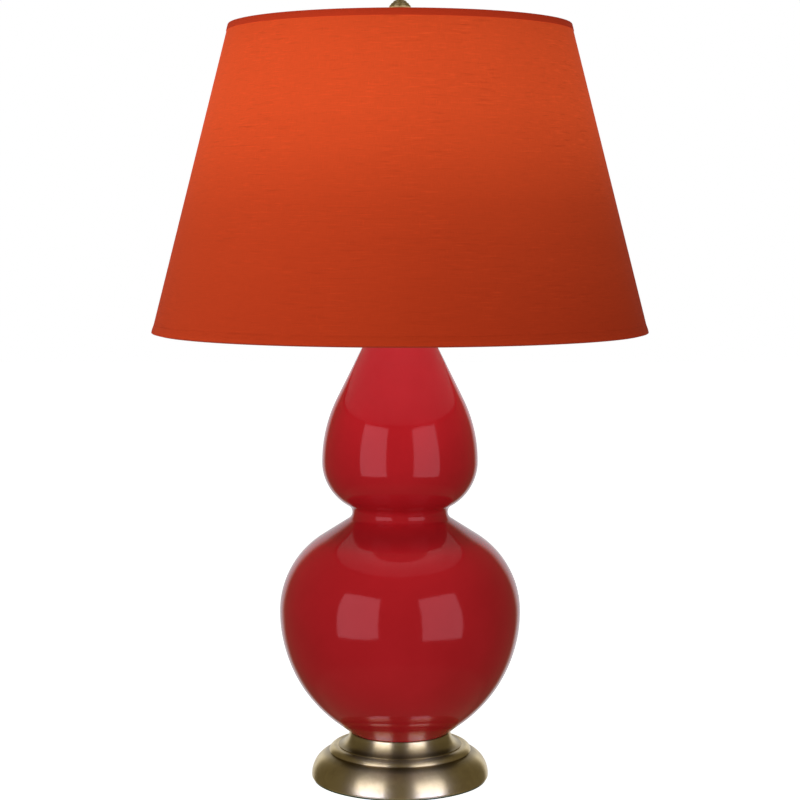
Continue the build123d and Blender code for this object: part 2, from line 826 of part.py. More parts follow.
def folded_hem(edge, inward, width):
    """Cloth folded over an edge of the shade and its ring; inward points from the edge."""
    fold = edge + inward * binding_thickness
    free = edge + inward * width
    return slant_ring(
        (edge, 0),
        (free, 0),
        (free, binding_thickness),
        (fold, binding_thickness),
        (fold, inner_leg_depth),
        (free, inner_leg_depth),
        (free, inner_leg_depth + binding_thickness),
        (edge, inner_leg_depth + binding_thickness),
    )


def arm_line():
    """The middle line of the first spider arm, before it is turned to its place."""
    ring = Vector(*on_slant(ring_setback, ring_depth))
    bend = Vector(ring.X - arm_bend_start, hub_level)
    outward = ring - bend
    end = ring - outward.normalized() * (ring_wire_radius + frame_gap)
    corners = [Vector(hub_radius - arm_in_hub, hub_level), bend, end]
    return FilletPolyline(*[(point.X, 0, point.Y) for point in corners], radius=arm_bend_radius)


def arms(radius):
    """Three arms of a given thickness, evenly spaced about the axis."""
    line = arm_line()
    arm = sweep(Plane(line @ 0, z_dir=line % 0) * Circle(radius), path=line)
    return [Rot(0, 0, arm_first_angle + 360 / arm_count * i) * arm for i in range(arm_count)]


def spider_arms():
    return Compound(children=arms(arm_wire_radius))


def top_binding():
    """The hem at the top, notched where the spider's arms reach the ring."""
    hem = folded_hem(0, 1, top_binding_width)
    for arm in arms(arm_wire_radius + loose):
        hem -= arm
    return hem


def bottom_binding():
    return folded_hem(slant_length, -1, bottom_binding_width)


def spider_hub():
    """The washer that the finial clamps, with a socket for each arm."""
    hub = washer(hub_radius, stud_thread_radius + loose, shoulder_top, hub_top)
    rims = hub.edges().filter_by(GeomType.CIRCLE).group_by(SortBy.RADIUS)[-1]
    hub = fillet(rims, hub_round)
    floor = (hub_radius - arm_in_hub, 0, hub_level)
    socket = rod(arm_wire_radius + slip, floor, (hub_radius + overcut, 0, hub_level))
    for i in range(arm_count):
        hub -= Rot(0, 0, arm_first_angle + 360 / arm_count * i) * socket
    return hub


# ------------------------------------------------------------------ lampholder
def socket_cap():
    """The holder's brass cap: a threaded hub that opens into a cup for the shell."""
    rim_inner = shell_radius + loose / 2
    rim_outer = rim_inner + holder_cap_wall
    hub_top_height = saddle_top + holder_hub_height
    cup_height = hub_top_height + holder_cup_rise
    rim_height = saddle_top + holder_cap_height
    floor = (holder_hub_radius, hub_top_height + holder_cap_wall)
    cup_outer = (rim_outer, cup_height)
    cup_inner = (rim_inner, cup_height + holder_cap_wall / 2)
    hub_rim = (holder_hub_radius, hub_top_height)
    edges = [
        Line((tube_hole, saddle_top), (holder_hub_radius, saddle_top)),
        Line((holder_hub_radius, saddle_top), hub_rim),
        bulged(hub_rim, cup_outer, -holder_cup_bulge),
        Line(cup_outer, (rim_outer, rim_height)),
        Line((rim_outer, rim_height), (rim_inner, rim_height)),
        Line((rim_inner, rim_height), cup_inner),
        bulged(cup_inner, floor, holder_cup_bulge),
        Line(floor, (tube_hole, floor[1])),
        Line((tube_hole, floor[1]), (tube_hole, saddle_top)),
    ]
    level = saddle_top + holder_hub_height / 2
    tapped = rod(setscrew_radius + slip, (0, 0, level), (0, -holder_hub_radius - overcut, level))
    return turned(make_face(edges)) - tapped


def socket_setscrew():
    """The small screw that stops the cap turning on the tube."""
    level = saddle_top + holder_hub_height / 2
    front = -holder_hub_radius - setscrew_head
    shank = rod(setscrew_radius, (0, -tube_hole, level), (0, -holder_hub_radius, level))
    head = rod(setscrew_head_radius, (0, -holder_hub_radius, level), (0, front, level))
    slot = Box(2 * setscrew_head_radius, setscrew_head, setscrew_head / 2)
    return shank + head - Pos(0, front, level) * slot


def switch_hole(radius):
    """A hole toward the front for the switch's stem, at the switch's height."""
    return rod(radius, (0, 0, switch_axis_height), (0, -knob_back, switch_axis_height))


def socket_shell():
    """The thin brass shell, with a rolled lip at its mouth."""
    lip = shell_radius + shell_lip
    shell = lathe(
        (shell_inner_radius, shell_foot),
        (shell_radius, shell_foot),
        (shell_radius, shell_top - 2 * shell_lip),
        (lip, shell_top - shell_lip),
        (lip, shell_top),
        (shell_inner_radius, shell_top),
    )
    return shell - switch_hole(switch_stem_radius + loose)


def insulating_sleeve():
    sleeve = washer(sleeve_outer_radius, sleeve_inner_radius, body_foot, shell_top + sleeve_proud)
    return sleeve - switch_hole(switch_stem_radius + 2 * loose)


def socket_body():
    """The moulded core that holds the contacts and the switch."""
    core = rod(body_radius, (0, 0, body_foot), (0, 0, body_top))
    rims = core.edges().filter_by(GeomType.CIRCLE)
    core = chamfer(rims, body_chamfer)
    core -= rod(
        switch_stem_radius + running,
        (0, -body_radius - overcut, switch_axis_height),
        (0, -body_radius + switch_stem_inside + loose, switch_axis_height),
    )
    for side in (-1, 1):
        core -= terminal(side, terminal_radius + slip, setscrew_radius + slip)
    return core


def terminal(side, head_radius, shank_radius):
    """A terminal screw in the underside of the holder's core."""
    x = side * terminal_spread
    head_top = body_foot + terminal_head
    head = rod(head_radius, (x, 0, body_foot), (x, 0, head_top))
    return head + rod(shank_radius, (x, 0, head_top), (x, 0, head_top + terminal_length))


def terminal_screws():
    return Compound(children=[terminal(side, terminal_radius, setscrew_radius) for side in (-1, 1)])


def screw_shell():
    """The threaded liner that the bulb screws into, with a floor over the core."""
    hole = contact_radius + contact_room
    return lathe(
        (hole, body_top),
        (screw_shell_radius, body_top),
        (screw_shell_radius, screw_shell_top),
        (screw_shell_inner, screw_shell_top),
        (screw_shell_inner, body_top + screw_shell_wall),
        (hole, body_top + screw_shell_wall),
    )


def centre_contact():
    """The tongue under the bulb's centre contact, on a short post."""
    post_top = body_top + contact_post
    return lathe(
        (0, body_top),
        (contact_radius / 2, body_top),
        (contact_radius / 2, post_top),
        (contact_radius, post_top),
        (contact_radius, contact_top),
        (0, contact_top),
    )


def ring_contact():
    """The ring that feeds the screw shell, beside its floor."""
    outer = contact_radius + contact_room - slip
    return washer(outer, outer - ring_contact_width, body_top, body_top + ring_contact_thickness)


# ------------------------------------------------------------------ switch
def on_switch_axis(forward, aside=0, above=0):
    """A point a distance forward of the lamp's axis, beside and above the switch's axis."""
    return (aside, -forward, switch_axis_height + above)


def switch_stem():
    inner_end = on_switch_axis(body_radius - switch_stem_inside)
    return rod(switch_stem_radius, inner_end, on_switch_axis(knob_back + switch_knob_bore))


def switch_knob():
    """The turn knob, fluted along its side and hollow where it sits on the stem."""
    knob = rod(switch_knob_radius, on_switch_axis(knob_back), on_switch_axis(knob_front))
    outer_rim = knob.edges().filter_by(GeomType.CIRCLE).sort_by(Axis.Y)[0]
    knob = fillet(outer_rim, switch_knob_round)
    for i in range(switch_flutes):
        aside, above = on_circle((0, 0), switch_knob_radius, 360 / switch_flutes * i)
        flute_start = on_switch_axis(knob_back + switch_knob_plain, aside, above)
        knob -= rod(switch_flute_radius, flute_start, on_switch_axis(knob_front + overcut, aside, above))
    bore_start = on_switch_axis(knob_back - overcut)
    return knob - rod(switch_stem_radius + slip, bore_start, on_switch_axis(knob_back + switch_knob_bore))


# ------------------------------------------------------------------ bulb
def bulb_outline(inset):
    """The half section of the bulb's glass: a ball, a hollow arc tangent to it and a neck."""
    ball = bulb_radius - inset
    neck = bulb_neck_radius - inset
    hollow = bulb_neck_arc + inset
    hollow_centre = (neck + hollow, bulb_centre - sqrt((ball + hollow) ** 2 - (neck + hollow) ** 2))
    meet_angle = degrees(atan2(hollow_centre[1] - bulb_centre, hollow_centre[0]))
    neck_top = (neck, hollow_centre[1])
    return make_face([
        Line((0, glass_foot), (neck, glass_foot)),
        Line((neck, glass_foot), neck_top),
        CenterArc(hollow_centre, hollow, 180, meet_angle),
        CenterArc((0, bulb_centre), ball, meet_angle, 90 - meet_angle),
        Line((0, bulb_centre + ball), (0, glass_foot)),
    ])


def bulb_glass():
    return turned(bulb_outline(0)) - turned(bulb_outline(bulb_wall))


def bulb_cap():
    """The screw cap, closed at the glass and drawn in at its lower end."""
    inner = bulb_cap_radius - bulb_cap_wall
    shoulder = bulb_cap_foot + bulb_cap_taper
    return lathe(
        (bulb_insulator_radius, bulb_cap_foot),
        (bulb_insulator_radius + bulb_cap_wall, bulb_cap_foot),
        (bulb_cap_radius, shoulder),
        (bulb_cap_radius, glass_foot),
        (bulb_stem_radius + slip, glass_foot),
        (bulb_stem_radius + slip, glass_foot - bulb_cap_wall),
        (inner, glass_foot - bulb_cap_wall),
        (inner, shoulder),
    )


def bulb_insulator():
    return lathe(
        (0, bulb_contact_top),
        (bulb_contact_radius + bulb_insulator_rim, bulb_contact_top),
        (bulb_insulator_radius, bulb_cap_foot),
        (0, bulb_cap_foot),
    )


def bulb_contact():
    return lathe(
        (0, bulb_foot),
        (bulb_contact_radius / 2, bulb_foot),
        (bulb_contact_radius, bulb_foot + bulb_contact_length / 2),
        (bulb_contact_radius, bulb_contact_top),
        (0, bulb_contact_top),
    )


def bulb_stem():
    """The glass post inside the bulb."""
    foot = glass_foot - bulb_cap_wall - bulb_stem_tail
    return lathe(
        (0, foot),
        (bulb_stem_radius, foot),
        (bulb_stem_radius, glass_foot + bulb_stem_plain),
        (bulb_stem_tip_radius, stem_top),
        (0, stem_top),
    )


def bulb_filament():
    """A wire that rises from the post in a wide loop."""
    foot = stem_top + filament_wire_radius
    line = FilletPolyline(
        (filament_lead_gap / 2, 0, foot),
        (filament_half_width, 0, foot + filament_rise),
        (-filament_half_width, 0, foot + filament_rise),
        (-filament_lead_gap / 2, 0, foot),
        radius=filament_bend,
    )
    return sweep(Plane(line @ 0, z_dir=line % 0) * Circle(filament_wire_radius), path=line)


# ------------------------------------------------------------------ the files
def nodes():
    """Every piece of the lamp by the name of its file, from the table up."""
    return {
        "felt_pad": felt_pad(),
        "base_shell": base_shell(),
        "base_weight": base_weight(),
        "tube_nut": tube_nut(),
        "lock_washer": lock_washer(),
        "flat_washer": flat_washer(),
        "cord_bushing": cord_bushing(),
        "seat_seal": seat_seal(),
        "gourd_body": gourd_body(),
        "threaded_tube": threaded_tube(),
        "vase_cap": vase_cap(),
        "neck_spindle": neck_spindle(),
        "check_ring": check_ring(),
        "harp_saddle": harp_saddle(),
        "socket_cap": socket_cap(),
        "socket_setscrew": socket_setscrew(),
        "socket_shell": socket_shell(),
        "insulating_sleeve": insulating_sleeve(),
        "socket_body": socket_body(),
        "terminal_screws": terminal_screws(),
        "screw_shell": screw_shell(),
        "centre_contact": centre_contact(),
        "ring_contact": ring_contact(),
        "switch_stem": switch_stem(),
        "switch_knob": switch_knob(),
        "bulb_glass": bulb_glass(),
        "bulb_cap": bulb_cap(),
        "bulb_insulator": bulb_insulator(),
        "bulb_contact": bulb_contact(),
        "bulb_stem": bulb_stem(),
        "bulb_filament": bulb_filament(),
        "harp_loop": harp_loop(),
        "harp_sleeve_left": harp_sleeve(-1),
        "harp_sleeve_right": harp_sleeve(1),
        "harp_stud": harp_stud(),
        "shade_cover": shade_cover(),
        "shade_liner": shade_liner(),
        "top_ring": top_ring(),
        "bottom_ring": bottom_ring(),
        "top_binding": top_binding(),
        "bottom_binding": bottom_binding(),
        "spider_arms": spider_arms(),
        "spider_hub": spider_hub(),
        "finial": finial(),
    }


os.makedirs("parts", exist_ok=True)
for name, piece in nodes().items():
    export_step(piece, f"parts/{name}.step")
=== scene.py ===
import json
import math

import bmesh
import bpy
from mathutils import Matrix, Vector, noise

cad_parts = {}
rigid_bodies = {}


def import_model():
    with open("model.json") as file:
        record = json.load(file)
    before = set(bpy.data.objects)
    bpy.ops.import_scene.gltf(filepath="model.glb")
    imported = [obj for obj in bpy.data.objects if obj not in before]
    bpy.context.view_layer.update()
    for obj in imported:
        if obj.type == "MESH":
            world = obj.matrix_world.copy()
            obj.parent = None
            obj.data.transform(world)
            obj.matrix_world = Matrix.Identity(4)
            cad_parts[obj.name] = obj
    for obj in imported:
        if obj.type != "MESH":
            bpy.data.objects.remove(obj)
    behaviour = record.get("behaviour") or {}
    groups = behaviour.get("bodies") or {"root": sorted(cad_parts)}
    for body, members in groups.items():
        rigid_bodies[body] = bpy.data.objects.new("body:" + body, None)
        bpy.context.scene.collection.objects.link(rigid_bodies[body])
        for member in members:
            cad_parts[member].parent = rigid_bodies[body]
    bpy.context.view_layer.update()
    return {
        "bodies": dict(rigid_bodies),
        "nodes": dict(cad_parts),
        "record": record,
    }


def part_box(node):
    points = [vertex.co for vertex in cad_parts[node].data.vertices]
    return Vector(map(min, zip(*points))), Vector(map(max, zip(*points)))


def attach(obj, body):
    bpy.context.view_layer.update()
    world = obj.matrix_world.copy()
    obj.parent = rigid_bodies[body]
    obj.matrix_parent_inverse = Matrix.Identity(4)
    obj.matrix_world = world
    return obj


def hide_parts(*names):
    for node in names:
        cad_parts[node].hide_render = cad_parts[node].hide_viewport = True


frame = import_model()
nodes = frame["nodes"]
MM = 0.001
AROUND = 288


# ------------------------------------------------------------------ sizes, in millimetres
def low(node):
    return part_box(node)[0] / MM


def high(node):
    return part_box(node)[1] / MM


# the base from its edge inward and up: insets toward the axis, rises, and bulges off the chord
FELT = high("felt_pad").z
BASE_R = high("base_shell").x
EDGE_RISE, EDGE_INSET = 1.7, 1.0
DOME_INSET, DOME_RISE, DOME_BULGE = 17.5, 24.9, 5.3
GROOVE_DEPTH, GROOVE_WIDTH = 0.8, 1.1
BEAD_INSET, BEAD_RISE, BEAD_BULGE = 9.2, 5.0, 2.2
QUIRK_INSET, QUIRK_RISE = 0.6, 0.9
COVE_SAG = 3.0
LIP_TOP = high("base_shell").z
SEAT = low("seat_seal").z
LIP_WALL, LIP_ROUND, BASE_WALL = 1.1, 0.6, 1.5
TUBE_HOLE_R, FOOT_ROOM = 5.0, 0.3
BUSHING_HOLE_R, INLET_Z = 4.7, (low("cord_bushing").z + high("cord_bushing").z) / 2
GROOVE_Z = FELT + EDGE_RISE + DOME_RISE + GROOVE_WIDTH / 2
QUIRK_Z = GROOVE_Z + GROOVE_WIDTH / 2 + BEAD_RISE + QUIRK_RISE / 2

# the gourd from its foot up: radii, rises, and the straight stretches that join its arcs
FOOT = low("gourd_body").z
NECK_TOP = high("gourd_body").z
FOOT_R, FOOT_STRAIGHT = 48.3, 21.0
LOW_RISE, LOW_R = 124.7, 121.5
WAIST_STRAIGHT, WAIST_R, WAIST_ROUND = 33.1, 48.2, 8.3
LOBE_SPACING = 151.7
TOP_R, TOP_UNDER = 78.4, 50.1
NECK_STRAIGHT, NECK_R = 95.1, 20.7
GOURD_WALL, TUBE_ROOM = 5.0, 6.0

# the shade: its layers' thickness, the ring's wire and its play in a hem, and a gap between two faces
SHADE_TOP_R, SHADE_LOW_R = 169.4, high("bottom_binding").x
SHADE_TOP, SHADE_LOW = high("top_binding").z, low("bottom_binding").z
HEM, COVER, LINER = 0.5, 0.6, 0.8
RING_WIRE, SLIP, APART = 3.5, 0.1, 0.02
TOP_HEM, LOW_HEM = 7.0, 9.0


# where the gourd's arcs begin and end
def arc_radius(step, rise, straight):
    return (step ** 2 + rise ** 2 - straight ** 2) / (2 * step)


def arc_angle(step, rise, straight):
    radius = arc_radius(step, rise, straight)
    return math.degrees(math.atan2(rise, radius - step) - math.atan2(straight, radius))


LOW_Z = FOOT + LOW_RISE
TOP_Z = LOW_Z + LOBE_SPACING
NECK_RISE = NECK_TOP - TOP_Z
FOOT_ARC = arc_radius(LOW_R - FOOT_R, LOW_RISE, FOOT_STRAIGHT)
FOOT_ANGLE = arc_angle(LOW_R - FOOT_R, LOW_RISE, FOOT_STRAIGHT)
NECK_ARC = arc_radius(TOP_R - NECK_R, NECK_RISE, NECK_STRAIGHT)
NECK_ANGLE = arc_angle(TOP_R - NECK_R, NECK_RISE, NECK_STRAIGHT)
REACH = TOP_UNDER + WAIST_ROUND
WAIST_RISE = LOBE_SPACING - math.sqrt(REACH ** 2 - (REACH - TOP_R + WAIST_R) ** 2)
WAIST_ARC = arc_radius(LOW_R - WAIST_R, WAIST_RISE, WAIST_STRAIGHT) - WAIST_ROUND
WAIST_ANGLE = arc_angle(LOW_R - WAIST_R, WAIST_RISE, WAIST_STRAIGHT)
RECESS_R = FOOT_R + math.tan(math.radians(FOOT_ANGLE)) * (LIP_TOP - FOOT) + FOOT_ROOM


# ------------------------------------------------------------------ outlines of turned pieces
def unit(value):
    """The value, held between 0 and 1."""
    return min(1.0, max(0.0, value))


def arc(centre, radius, start, end, count):
    """Points on an arc, with angles in degrees above the horizontal."""
    angles = [math.radians(start + (end - start) * i / count) for i in range(count + 1)]
    return [(centre[0] + radius * math.cos(a), centre[1] + radius * math.sin(a)) for a in angles]


def bulged(start, end, bulge, count):
    """An arc that stands out from its chord, to the left of the way from start to end."""
    chord = Vector((end[0] - start[0], end[1] - start[1]))
    across = Vector((-chord.y, chord.x)).normalized()
    radius = (chord.length ** 2 / 4 + bulge ** 2) / (2 * bulge)
    centre = (Vector(start) + Vector(end)) / 2 + across * (bulge - radius)
    first, last = Vector(start) - centre, Vector(end) - centre
    turn = last.angle_signed(first)
    turned = [Vector((first.x * math.cos(t) - first.y * math.sin(t),
                      first.x * math.sin(t) + first.y * math.cos(t)))
              for t in [turn * i / count for i in range(count + 1)]]
    return [(centre.x + p.x, centre.y + p.y) for p in turned]


def between(start, end, first, last, count):
    """The points first to last of the way from start to end in count steps."""
    return [tuple(Vector(start).lerp(Vector(end), i / count)) for i in range(first, last + 1)]


def joined(*runs):
    """One outline from several runs of points, without the doubled ends."""
    points = []
    for run in runs:
        for point in run:
            if not points or math.dist(points[-1], point) > 1e-4:
                points.append(point)
    return points


def eased(points, size, limit=20):
    """The closed outline with its corners rounded off, and a guard point beside each."""
    out = []
    count = len(points)
    for i, here in enumerate(points):
        p = Vector(here)
        before, after = Vector(points[i - 1]), Vector(points[(i + 1) % count])
        arriving, leaving = p - before, after - p
        if here[0] < 1e-6 or arriving.angle(leaving, 0) < math.radians(limit):
            out.append(here)
            continue
        near = min(size, 0.3 * arriving.length, 0.3 * leaving.length)
        a, b = p - arriving.normalized() * near, p + leaving.normalized() * near
        out.append(tuple(a - arriving.normalized() * near * 0.5))
        for t in (0, 0.25, 0.5, 0.75, 1):
            out.append(tuple(a * (1 - t) ** 2 + p * 2 * t * (1 - t) + b * t ** 2))
        out.append(tuple(b + leaving.normalized() * near * 0.5))
    return out


def linked(name, data):
    """A new object with this data, in the scene."""
    made = bpy.data.objects.new(name, data)
    bpy.context.scene.collection.objects.link(made)
    return made


def meshed(name, bm):
    """The bmesh as mesh data, and the bmesh freed."""
    data = bpy.data.meshes.new(name)
    bm.to_mesh(data)
    bm.free()
    return data


def mesh_piece(name, bm, body, material, replaced):
    """A new piece from a bmesh, on a body, with a material, in place of CAD nodes."""
    bmesh.ops.remove_doubles(bm, verts=bm.verts, dist=1e-7)
    bmesh.ops.recalc_face_normals(bm, faces=bm.faces)
    for face in bm.faces:
        face.smooth = True
    data = meshed(name, bm)
    data.set_sharp_from_angle(angle=math.radians(45))
    piece = linked(name, data)
    data.materials.append(material)
    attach(piece, body)
    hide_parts(*replaced)
    return piece


def turned_bmesh(outline, around=AROUND, shape=None, extra=()):
    """The closed outline turned about the upright axis, with extra columns at some angles.

    shape takes a point's angle, radius and height, and returns its radius and height.
    """
    angles = sorted([2 * math.pi * i / around for i in range(around)] + list(extra))
    columns = len(angles)
    bm = bmesh.new()
    rings = []
    for radius, height in outline:
        ring = []
        for angle in angles:
            r, z = (radius, height) if shape is None else shape(angle, radius, height)
            ring.append(bm.verts.new((r * math.cos(angle) * MM, r * math.sin(angle) * MM, z * MM)))
        rings.append(ring)
    for one, other in list(zip(rings, rings[1:])) + [(rings[-1], rings[0])]:
        for i in range(columns):
            j = (i + 1) % columns
            bm.faces.new((one[i], one[j], other[j], other[i]))
    return bm


def turned(name, outline, body, material, replaced, **options):
    """A turned piece. The outline is in millimetres."""
    return mesh_piece(name, turned_bmesh(outline, **options), body, material, replaced)


# ------------------------------------------------------------------ node helpers
class Nodes:
    """A material's node tree, with short calls for the nodes that are used here."""

    def __init__(self, name):
        self.material = bpy.data.materials.new(name)
        self.material.use_nodes = True
        self.tree = self.material.node_tree
        self.shader = self.tree.nodes["Principled BSDF"]
        self.place = self.tree.nodes.new("ShaderNodeTexCoord").outputs["Object"]

    def add(self, kind, *values, **settings):
        made = self.tree.nodes.new("ShaderNode" + kind)
        for key, value in settings.items():
            setattr(made, key, value)
        for i, value in enumerate(values):
            self.put(made.inputs[i], value)
        return made.outputs[0]

    def put(self, socket, value):
        if isinstance(value, bpy.types.NodeSocket):
            self.tree.links.new(value, socket)
        elif isinstance(value, tuple) and len(value) == 3 and socket.type == "RGBA":
            socket.default_value = (*value, 1)
        else:
            socket.default_value = value

    def set(self, **values):
        for key, value in values.items():
            self.put(self.shader.inputs[key.replace("_", " ")], value)

    def maths(self, operation, *values, clamp=False):
        return self.add("Math", *values, operation=operation, use_clamp=clamp)

    def scaled(self, x, y, z, place=None):
        """The place, multiplied. For a noise of scale 1 these are its waves to the metre."""
        made = self.tree.nodes.new("ShaderNodeMapping")
        self.put(made.inputs["Vector"], place or self.place)
        made.inputs["Scale"].default_value = (x, y, z)
        return made.outputs[0]

    def noise(self, scale, detail=3, rough=0.5, place=None, distortion=0):
        """Noise with a scale in waves to the metre."""
        made = self.tree.nodes.new("ShaderNodeTexNoise")
        self.put(made.inputs["Vector"], place or self.place)
        made.inputs["Scale"].default_value = scale
        made.inputs["Detail"].default_value = detail
        made.inputs["Roughness"].default_value = rough
        made.inputs["Distortion"].default_value = distortion
        return made.outputs["Fac"]

    def span(self, value, low_in, high_in, low_out=0.0, high_out=1.0, kind="LINEAR"):
        """The value, taken from one range to another and held inside it."""
        made = self.tree.nodes.new("ShaderNodeMapRange")
        made.interpolation_type = kind
        for i, v in enumerate((value, low_in, high_in, low_out, high_out)):
            self.put(made.inputs[i], v)
        return made.outputs[0]

    def ramp(self, value, *stops):
        """A smooth curve of grey levels through the stops."""
        made = self.tree.nodes.new("ShaderNodeValToRGB")
        made.color_ramp.interpolation = "CARDINAL"
        self.put(made.inputs[0], value)
        elements = made.color_ramp.elements
        while len(elements) < len(stops):
            elements.new(1)
        for element, (position, level) in zip(elements, stops):
            element.position = position
            element.color = (level, level, level, 1)
        return made.outputs[0]

    def mixed(self, factor, one, other):
        made = self.tree.nodes.new("ShaderNodeMix")
        made.data_type = "RGBA"
        self.put(made.inputs[0], factor)
        self.put(made.inputs[6], one)
        self.put(made.inputs[7], other)
        return made.outputs[2]

    def bump(self, height, distance, strength, normal=None):
        made = self.tree.nodes.new("ShaderNodeBump")
        made.inputs["Strength"].default_value = strength
        made.inputs["Distance"].default_value = distance
        self.put(made.inputs["Height"], height)
        if normal is not None:
            self.put(made.inputs["Normal"], normal)
        return made.outputs[0]

    def round_place(self, radius):
        """A place on a turned surface: distance round the axis from the front, and height, in metres."""
        made = self.tree.nodes.new("ShaderNodeSeparateXYZ")
        self.put(made.inputs[0], self.place)
        x, y, z = made.outputs
        back = self.maths("MULTIPLY", y, -1.0)
        angle = self.maths("ARCTAN2", x, back)
        along = self.maths("MULTIPLY", angle, radius)
        return self.add("CombineXYZ", along, z)

    def tent(self, value, start, top, end):
        """Rises from nothing at start to one at top, and falls back to nothing at end."""
        return self.maths("MULTIPLY", self.span(value, start, top, kind="SMOOTHSTEP"),
                          self.span(value, top, end, 1.0, 0.0, "SMOOTHSTEP"))

    def height(self):
        """Height above the table, in metres."""
        made = self.tree.nodes.new("ShaderNodeSeparateXYZ")
        self.put(made.inputs[0], self.place)
        return made.outputs[2]


# ------------------------------------------------------------------ materials
def glaze():
    """Red glaze, deeper under the waist, partly where it pools and partly painted shade; as seen in
    reflections its underside is a painted dark brown, so the brass mirrors it dark.
    """
    m = Nodes("red_glaze")
    cloud = m.noise(14, 4, 0.55)
    pits = m.noise(900, 2, 0.6)
    depth = m.span(cloud, 0.3, 0.7)
    red = m.mixed(depth, (0.53, 0.0130, 0.0205), (0.60, 0.0158, 0.0255))
    speck = m.span(pits, 0.70, 0.78)
    red = m.mixed(speck, red, (0.36, 0.008, 0.011))
    # darker under the waist: partly glaze pooling, partly painted shade where the upper lobe shades the
    # shoulder
    waist_z = LOW_Z + WAIST_RISE
    pooled_and_shaded = m.tent(m.height(), (waist_z - 34) * MM, (waist_z - 18) * MM, (waist_z - 3) * MM)
    red = m.mixed(m.maths("MULTIPLY", pooled_and_shaded, 0.85), red, (0.36, 0.0115, 0.0165))
    # painted reflection: seen in reflections, the gourd below about 0.15 to 0.19 m is painted dark brown
    path = m.tree.nodes.new("ShaderNodeLightPath")
    painted_reflection = m.maths("MULTIPLY", path.outputs["Is Glossy Ray"],
                       m.span(m.height(), 0.15, 0.19, 1.0, 0.0))
    m.set(Base_Color=m.mixed(painted_reflection, red, (0.030, 0.020, 0.008)),
          Roughness=m.span(cloud, 0.2, 0.8, 0.070, 0.11))
    swell = m.bump(m.noise(22, 2, 0.5), 0.0012, 0.35)
    m.set(Normal=m.bump(m.noise(260, 3, 0.6), 0.00003, 0.6, swell))
    m.shader.inputs["IOR"].default_value = 1.55
    m.shader.inputs["Specular Tint"].default_value = (1.0, 0.48, 0.58, 1)
    return m.material


def brass(name, light, dark, rough=0.33, tarnish=0.6, hollows=()):
    """Turned brass, brushed round the axis, with brown film in uneven patches, and darker in its hollows:
    brown film there together with painted shade.

    Each hollow is where it starts, is deepest and ends, as heights in millimetres, and how dark it gets.
    """
    m = Nodes(name)
    around = m.round_place(0.06)
    lines = m.noise(1.0, 3, 0.65, m.scaled(60, 4200, 1, around))
    film = m.noise(55, 5, 0.62, distortion=0.6)
    spots = m.noise(420, 3, 0.6)
    age = m.maths("MULTIPLY", m.span(film, 0.42, 0.72), tarnish)
    age = m.maths("ADD", age, m.maths("MULTIPLY", m.span(spots, 0.60, 0.75), 0.20), clamp=True)
    metal = m.mixed(age, light, dark)
    # painted shade with brown film: each hollow darkens the brass toward dark brown
    for start, top, end, depth in hollows:
        hollow = m.tent(m.height(), start * MM, top * MM, end * MM)
        metal = m.mixed(m.maths("MULTIPLY", hollow, depth), metal, (0.20, 0.135, 0.045))
    m.set(
        Base_Color=metal,
        Roughness=m.maths("ADD", m.span(age, 0, 1, rough, rough + 0.10),
                          m.span(lines, 0.3, 0.7, -0.03, 0.03)),
        Normal=m.bump(lines, 0.00004, 0.3),
    )
    m.shader.inputs["Metallic"].default_value = 1
    m.shader.inputs["Anisotropic"].default_value = 0.9
    m.shader.inputs["Anisotropic Rotation"].default_value = 0.25
    return m.material


# the shade's glow: share of the height from its lower edge, and how much comes through there
GLOW_STOPS = ((0.0, 0.02), (0.087, 0.03), (0.203, 0.06), (0.319, 0.09), (0.436, 0.145), (0.556, 0.23),
              (0.672, 0.30), (0.759, 0.33), (0.905, 0.328), (1.0, 0.29))


def glow(m):
    """How strongly the lit bulb shows through the shade at each height."""
    rise = m.span(m.height(), SHADE_LOW * MM, SHADE_TOP * MM)
    return m.ramp(rise, *GLOW_STOPS)


